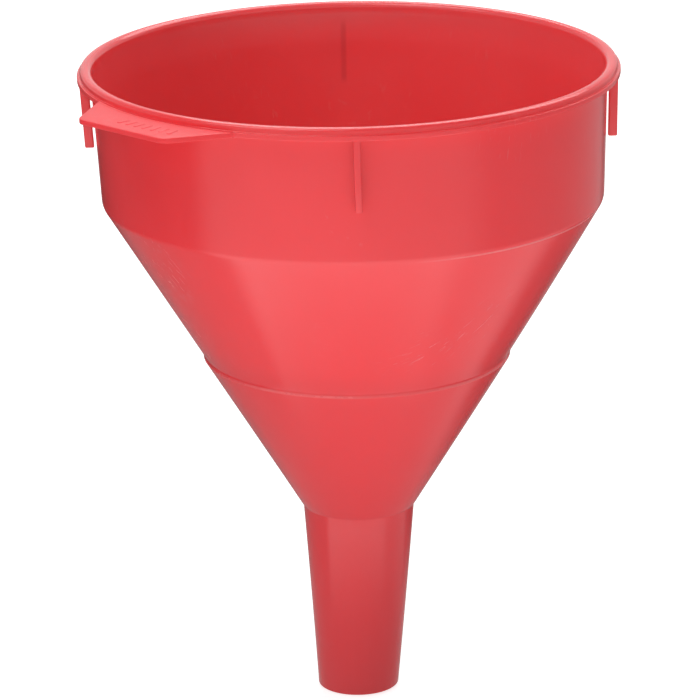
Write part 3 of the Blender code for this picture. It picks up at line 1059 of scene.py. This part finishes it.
# Radiance that reaches the object from each side: front, right, right back, left, straight back
SKY_LOW = (0.7, 0.5, 0.75, 0.6, 0.8)
SKY_HIGH = (0.35, 0.1, 0.4, 0.3, 0.9)
FLOOR_NEAR = (1.54, 0.7, 0.1, 0.25, 0.5)
FLOOR_FAR = (0.85, 0.4, 0.45, 0.05, 1.0)
FLOOR_CENTER = 0.42                      # under the spout, the same on every side
TOP_LEVEL = 4.0                          # above all the levels: a colour ramp holds 0 to 1

# Where the low sky gives way to the high one, in degrees, and the floor's rings, in metres
SKY_RISE = (15.0, 45.0)
CENTER_TO_NEAR = (0.05, 0.15)
NEAR_TO_FAR = (0.25, 0.45)

# From where to where each side has its full level, in degrees round from -Y towards +X
LEFT_EDGES = (-162.0, -74.0)
FRONT_EDGES = (-63.0, 46.0)
RIGHT_EDGES = (62.0, 103.0)
RIGHT_BACK_EDGES = (119.0, 146.0)
BACK_GAP = 153.0                         # between right back and straight back: the left's level
BACK_EDGE = 173.0                        # straight back is from here round to minus this

# Soft boxes: azimuth is measured from -Y towards +X
KEY_LIGHT = {"azimuth": -60.0, "elevation": 66.0, "distance": 1.9, "size": (1.2, 1.2),
             "power": 13.5}
BACK_LIGHT = {"azimuth": 158.0, "elevation": 50.0, "distance": 1.8, "size": (1.8, 1.0),
              "power": 14.5}

CAMERA_ELEVATION = math.radians(17.56)
CAMERA_SIDE = math.radians(-1.3)
CAMERA_ROLL = math.radians(-0.84)
CAMERA_DISTANCE = 1.2895
CAMERA_TARGET = Vector((-2.1 * MM, 0.0, 106.3 * MM))
CAMERA_LENS = 221.6


def side_levels(n, turn, levels):
    """Grey level that depends on the side: turn runs from -pi to pi."""
    front, right, right_back, left, back = levels
    stops = [(-180.0, back), (-BACK_EDGE, back)]
    for edges, level in ((LEFT_EDGES, left), (FRONT_EDGES, front), (RIGHT_EDGES, right),
                         (RIGHT_BACK_EDGES, right_back)):
        stops += [(edge, level) for edge in edges]
    stops += [(BACK_GAP, left), (BACK_EDGE, back), (180.0, back)]
    node = n.add("ShaderNodeValToRGB")
    ramp = node.color_ramp
    while len(ramp.elements) < len(stops):
        ramp.elements.new(0.5)
    for element, (angle, level) in zip(ramp.elements, stops):
        element.position = (angle + 180.0) / 360.0
        grey = level / TOP_LEVEL
        element.color = (grey, grey, grey, 1.0)
    share = n.math("ADD", n.math("DIVIDE", turn, math.tau), 0.5)
    n.link(share, node.inputs["Fac"])
    split = n.add("ShaderNodeSeparateColor")
    n.link(node.outputs["Color"], split.inputs[0])
    return n.math("MULTIPLY", split.outputs[0], TOP_LEVEL)


def turn_and_radius(n, source):
    """Direction round from -Y towards +X, distance from the axis, and height."""
    x, y, z = n.separate(source)
    turn = n.math("ARCTAN2", x, n.math("MULTIPLY", y, -1.0))
    return turn, n.off_axis(x, y), z


def floor_shine(n, geometry):
    """Emission with the floor's levels, for every ray but the camera's."""
    turn, radius, _ = turn_and_radius(n, geometry.outputs["Position"])
    ring = n.blend(n.between(radius, *NEAR_TO_FAR),
                   side_levels(n, turn, FLOOR_NEAR), side_levels(n, turn, FLOOR_FAR))
    level = n.blend(n.between(radius, *CENTER_TO_NEAR), FLOOR_CENTER, ring)
    shine = n.add("ShaderNodeEmission")
    n.link(level, shine.inputs["Strength"])
    return shine.outputs[0]


def shader_switch(n, share, first, second):
    """The first shader where share is 0, the second where it is 1."""
    node = n.add("ShaderNodeMixShader")
    n.link(share, node.inputs[0])
    n.link(first, node.inputs[1])
    n.link(second, node.inputs[2])
    return node.outputs[0]


def add_floor():
    """Pale floor.  To the camera it is plain; to the object it shines like a studio sweep.

    Seen from underneath it is clear, so that it never hides the object.
    """
    half = 4.0
    gap = 0.4 * MM                           # between the floor and the spout's end
    corners = [(-half, -half, 0.0), (half, -half, 0.0), (half, half, 0.0), (-half, half, 0.0)]
    floor = mesh_object("floor", corners, [(0, 1, 2, 3)])
    floor.location.z = -gap
    n = Finish("floor_pale")
    n.set_shader(Base_Color=(0.55, 0.55, 0.55, 1.0), Roughness=0.9, Specular_IOR_Level=0.0,
                 Emission_Color=(1.0, 1.0, 1.0, 1.0), Emission_Strength=0.75)
    geometry = n.add("ShaderNodeNewGeometry")
    rays = n.add("ShaderNodeLightPath")
    clear = n.add("ShaderNodeBsdfTransparent")
    upper = shader_switch(n, rays.outputs["Is Camera Ray"], floor_shine(n, geometry),
                          n.shader.outputs[0])
    both = shader_switch(n, geometry.outputs["Backfacing"], upper, clear.outputs[0])
    n.link(both, n.tree.nodes["Material Output"].inputs["Surface"])
    n.material.cycles.emission_sampling = "NONE"
    floor.data.materials.append(n.material)


def add_area_light(name, target, azimuth, elevation, distance, size, power):
    """Soft box light that faces the target."""
    data = bpy.data.lights.new(name, "AREA")
    data.shape = "RECTANGLE"
    data.size, data.size_y = size
    data.energy = power
    light = bpy.data.objects.new(name, data)
    bpy.context.scene.collection.objects.link(light)
    a = math.radians(azimuth)
    e = math.radians(elevation)
    away = Vector((math.sin(a) * math.cos(e), -math.cos(a) * math.cos(e), math.sin(e)))
    light.location = target + away * distance
    light.rotation_mode = "QUATERNION"
    light.rotation_quaternion = away.to_track_quat("Z", "Y")


def set_world():
    """White to the camera; to the object, a studio whose brightness depends on the side."""
    world = bpy.data.worlds.new("studio")
    bpy.context.scene.world = world
    world.use_nodes = True
    n = Nodes(world.node_tree)
    background = n.tree.nodes["Background"]
    direction = n.add("ShaderNodeTexCoord").outputs["Generated"]
    turn, _, rise = turn_and_radius(n, direction)
    low_end, high_start = (math.sin(math.radians(angle)) for angle in SKY_RISE)
    high_share = n.between(rise, low_end, high_start)
    level = n.blend(high_share, side_levels(n, turn, SKY_LOW), side_levels(n, turn, SKY_HIGH))
    rays = n.add("ShaderNodeLightPath")
    strength = n.blend(rays.outputs["Is Camera Ray"], level, 1.0)
    n.link(strength, background.inputs["Strength"])
    background.inputs["Color"].default_value = (1.0, 1.0, 1.0, 1.0)


def add_camera():
    """Long-lens camera a little above the funnel and a hair to its left."""
    data = bpy.data.cameras.new("camera")
    data.sensor_width = 36.0
    data.lens = CAMERA_LENS
    data.clip_start = 0.01
    data.clip_end = 20.0
    camera = bpy.data.objects.new("camera", data)
    bpy.context.scene.collection.objects.link(camera)
    look = Vector((0.0, math.cos(CAMERA_ELEVATION), -math.sin(CAMERA_ELEVATION)))
    right = Vector((1.0, 0.0, 0.0))
    up = Vector((0.0, math.sin(CAMERA_ELEVATION), math.cos(CAMERA_ELEVATION)))
    turned_right = right * math.cos(CAMERA_ROLL) + up * math.sin(CAMERA_ROLL)
    turned_up = up * math.cos(CAMERA_ROLL) - right * math.sin(CAMERA_ROLL)
    axes = Matrix((turned_right, turned_up, -look)).transposed().to_4x4()
    placed = Matrix.Translation(CAMERA_TARGET - look * CAMERA_DISTANCE) @ axes
    camera.matrix_world = Matrix.Rotation(CAMERA_SIDE, 4, "Z") @ placed
    bpy.context.scene.camera = camera


def main():
    """Builds the five pieces, then the stage, the lights and the camera."""
    moulding = make_moulding()
    finish_piece(moulding, polyethylene(), "funnel", "funnel_body")
    metal = tinplate()
    finish_piece(make_hoop(), metal, "strainer", "strainer_hoop")
    finish_piece(make_clamp_ring(), metal, "strainer", "strainer_clamp_ring")
    finish_piece(make_gauze(), brass_gauze(), "strainer", "strainer_gauze")
    finish_piece(make_bail(), plated_wire(), "bail", "strainer_bail")

    add_floor()
    middle = Vector((0.0, 0.0, HEIGHT / 2.0))
    add_area_light("key", middle, **KEY_LIGHT)
    add_area_light("back", middle, **BACK_LIGHT)
    set_world()
    add_camera()
    bpy.context.scene.view_settings.view_transform = "Standard"


main()
